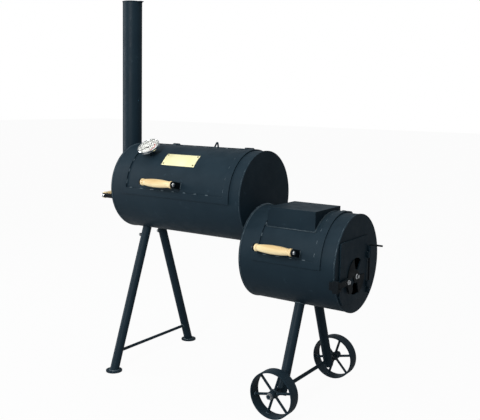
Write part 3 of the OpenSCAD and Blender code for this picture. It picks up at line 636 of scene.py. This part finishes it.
def thermometer():
    out = on_pipe(THERMO_X, THERMO_A, 1, 0) - on_pipe(THERMO_X, THERMO_A, 0, 0)
    right = Vector((1, 0, 0))
    up = out.cross(right)
    up = up if up.z > 0 else -up
    centre = on_pipe(THERMO_X, THERMO_A, 0, CHAMBER_Z)
    face = 0.2432 + 0.00015
    p = Piece()
    back = PIPE_R + 0.025
    p.lathe([(back, 0.0140), (back + 0.0085, 0.0405), (back + 0.0100, 0.0470), (back + 0.0112, 0.0505),
             (back + 0.0128, 0.0517), (back + 0.0185, 0.0519), (back + 0.0205, 0.0528), (back + 0.0218, 0.0529),
             (back + 0.0232, 0.0522), (back + 0.0239, 0.0510), (back + 0.0238, 0.0498), (back + 0.0228, 0.0491),
             (back + 0.0130, 0.0489)], centre, out, 96)
    p.make("thermometer_bezel", BEZEL, "chamber_lid", 28, ("thermometer_case",))

    def spot(angle, radius):
        a = math.radians(angle)
        way = up * math.cos(a) + right * math.sin(a)
        return centre + out * face + way * radius, way

    marks = Piece()
    for i in range(31):
        long = i % 5 == 0
        place, way = spot(-135 + 9 * i, 0.0395 if long else 0.0410)
        marks.block(place, (way, out.cross(way), out), (0.0042 if long else 0.0024, 0.0008 if long else 0.00045, 0.00015))
    marks.make("dial_marks", MARK, "chamber_lid")
    band = Piece()
    verts, faces = [], []
    count = 30
    for i in range(count + 1):
        a = 35 + 100 * i / count
        for radius in (0.0292, 0.0338):
            for lift in (-0.0001, 0.00015):
                verts.append(spot(a, radius)[0] + out * lift)
    for i in range(count):
        b = 4 * i
        faces += [(b + 1, b + 3, b + 7, b + 5), (b, b + 4, b + 6, b + 2), (b, b + 1, b + 5, b + 4), (b + 2, b + 6, b + 7, b + 3)]
    faces += [(0, 2, 3, 1), (4 * count, 4 * count + 1, 4 * count + 3, 4 * count + 2)]
    band.add(verts, faces)
    band.make("dial_red_band", RED, "chamber_lid")
    for i in range(7):
        curve = bpy.data.curves.new("number", "FONT")
        curve.body = str(50 * (i + 1))
        curve.size = 0.0078
        curve.align_x = "CENTER"
        curve.align_y = "CENTER"
        curve.extrude = 0.00012
        text = bpy.data.objects.new("number", curve)
        scene.collection.objects.link(text)
        bpy.context.view_layer.update()
        data = bpy.data.meshes.new_from_object(text.evaluated_get(bpy.context.evaluated_depsgraph_get()))
        bpy.data.objects.remove(text)
        place, _ = spot(-135 + 45 * i, 0.0240)
        turn = Matrix((right, up, out)).transposed().to_4x4()
        data.transform(Matrix.Translation(place) @ turn)
        data.materials.clear()
        data.materials.append(MARK)
        number = bpy.data.objects.new("dial_number_%d" % (i + 1), data)
        scene.collection.objects.link(number)
        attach(number, "chamber_lid")


def plate_screws():
    p = Piece()
    for x in (-0.453, -0.285):
        for angle in (39.9, 54.6):
            out = on_pipe(x, angle, 1, 0) - on_pipe(x, angle, 0, 0)
            base = on_pipe(x, angle, 0, CHAMBER_Z)
            r0 = SKIN_R + 0.0013
            p.lathe([(r0, 0.0040), (r0 + 0.0006, 0.0040), (r0 + 0.0014, 0.0034), (r0 + 0.0019, 0.0022), (r0 + 0.0021, 0.0008)],
                    base, out, 28)
    p.make("nameplate_screws", BRASS_RIVET, "chamber_lid", 60, ("nameplate_rivets",))


def lid_stop():
    """The bent rod on the chamber's back that an open lid leans on."""
    y = 0.092
    foot = CHAMBER_Z + math.sqrt(PIPE_R ** 2 - y * y) - 0.003
    left, right, tip = -0.358, -0.322, -0.331
    top = CHAMBER_Z + 0.2215
    corners = [(left, foot), (tip - 0.004, top - 0.0035), (tip - 0.0025, top - 0.0008), (tip, top),
               (tip + 0.0025, top - 0.0012), (tip + 0.0035, top - 0.0045), (right, foot)]
    p = Piece()
    p.sweep([(JOIN_X + x, y, z) for x, z in corners], [0.004] * len(corners), sides=16)
    p.make("lid_stop_rod", PAINT, "frame", 60, ("lid_stop_loop",))


def hinge_pin_detail():
    """The door's long loose pin with its bent top."""
    x, y = JOIN_X + FIREBOX_LEN + 0.012, 0.093
    low, top = FIREBOX_Z - 0.141, FIREBOX_Z + 0.070
    bend = 0.010
    path = [(x, y, low), (x, y, low + 0.0015)]
    radii = [0.0030, 0.0040]
    path += [(x, y, top - 0.004 - bend)]
    radii += [0.0040]
    for i in range(1, 9):
        t = math.radians(90 * i / 8)
        path.append((x + bend * (1 - math.cos(t)), y, top - 0.004 - bend + bend * math.sin(t)))
        radii.append(0.0040)
    path += [(x + 0.0565, y, top - 0.004), (x + 0.0578, y, top - 0.004)]
    radii += [0.0040, 0.0030]
    p = Piece()
    p.sweep(path, radii, sides=20)
    p.make("door_pin_detail", HARD, "door", 50, ("door_hinge_pin",))


def keeper():
    """The rest for the latch arm: a short plate, its foot on the pipe and a shelf."""
    p = Piece()
    axes = (Vector((1, 0, 0)), Vector((0, 1, 0)), Vector((0, 0, 1)))
    for low, high in (((0.447, -0.215, -0.082), (0.472, -0.207, -0.032)),
                      ((0.430, -0.210, -0.072), (0.4475, -0.1965, -0.040)),
                      ((0.453, -0.2075, -0.0763), (0.472, -0.182, -0.0663))):
        low, high = Vector(low), Vector(high)
        p.block((low + high) / 2 + Vector((JOIN_X, 0, FIREBOX_Z)), axes, (high - low) / 2)
    obj = p.make("latch_rest", HARD, "frame", 30, ("latch_keeper",))
    bevel = obj.modifiers.new("bevel", "BEVEL")
    bevel.width = 0.0012
    bevel.segments = 3


def door_welds():
    p = Piece()
    for z in (-0.1115, 0.011):
        for edge in (z - 0.0006, z + 0.0256):
            x = JOIN_X + FIREBOX_LEN + 0.0072
            p.bead([(x, 0.077, FIREBOX_Z + edge), (x, 0.084, FIREBOX_Z + edge)], 0.0016, pitch=0.003)
    p.make("door_welds", WELD, "door")


def wheel_welds():
    for body, side in (("front_wheel", -1), ("back_wheel", 1)):
        p = Piece()
        centre = Vector((JOIN_X + 0.231, side * 0.273, 0.098))
        for i in range(6):
            a = math.radians(60 * i + 17)
            way = Vector((math.sin(a), 0, math.cos(a)))
            across = Vector((math.cos(a), 0, -math.sin(a)))
            for radius in (0.0172, 0.0915):
                sign = 1 if radius < 0.05 else -1
                path = []
                for k in range(24):
                    t = math.radians(15 * k)
                    dx = 0.0060 * math.cos(t)
                    curve = math.sqrt(radius ** 2 - dx ** 2)
                    path.append(centre + way * (curve + sign * 0.0006) + across * dx + Vector((0, 0.0060 * math.sin(t), 0)))
                p.bead(path, 0.0017, True, 0.0032)
        p.make(body + "_welds", WELD, body)


def finish_cad():
    slots = {s["node"]: s["material_slot"] for s in frame["record"]["subparts"]}
    for name, obj in frame["nodes"].items():
        obj.data.materials.clear()
        obj.data.materials.append(SLOT_MATERIAL[slots[name]])
    soften = ("hot_plate_box", "door", "latch_lever", "chamber_handle_lugs", "firebox_handle_lugs",
              "carry_handle_bars", "stack_flap", "nameplate", "chamber_lid_strips", "firebox_lid_strips",
              "front_wheel", "back_wheel", "feet", "vent_butterfly", "stack_tube")
    for name in soften:
        obj = frame["nodes"][name]
        merge = obj.modifiers.new("merge", "WELD")
        merge.merge_threshold = 0.00001
        bevel = obj.modifiers.new("bevel", "BEVEL")
        bevel.width = 0.0009
        bevel.segments = 2
        bevel.limit_method = "ANGLE"
        bevel.angle_limit = math.radians(35)
        bevel.use_clamp_overlap = True
        bevel.harden_normals = False
        normal = obj.modifiers.new("normals", "WEIGHTED_NORMAL")
        normal.keep_sharp = False


scene.view_settings.view_transform = "Standard"
add_camera()
add_world()
add_floor()
add_light("key", (-1.6, -3.6, 3.6), (0, 0, 0.8), (2.2, 2.2), 6, (1.0, 0.99, 0.97))
add_light("top", (0.6, -0.4, 4.2), (0, 0, 0.8), (3.0, 2.4), 38, (0.97, 0.99, 1.0))
add_light("right", (3.8, -1.8, 2.4), (0, 0, 0.7), (1.6, 2.4), 6, (0.97, 0.99, 1.0))
add_light("left", (-3.3, -1.3, 1.4), (-0.5, 0, 1.1), (0.9, 2.8), 70, (0.95, 0.98, 1.0))
add_light("strip", (0.35, -3.4, 2.3), (-0.45, 0, 1.3), (0.6, 1.8), 96, (0.97, 0.99, 1.0))
finish_cad()
frame_welds()
lid_welds()
grips()
thermometer()
plate_screws()
lid_stop()
hinge_pin_detail()
keeper()
door_welds()
wheel_welds()
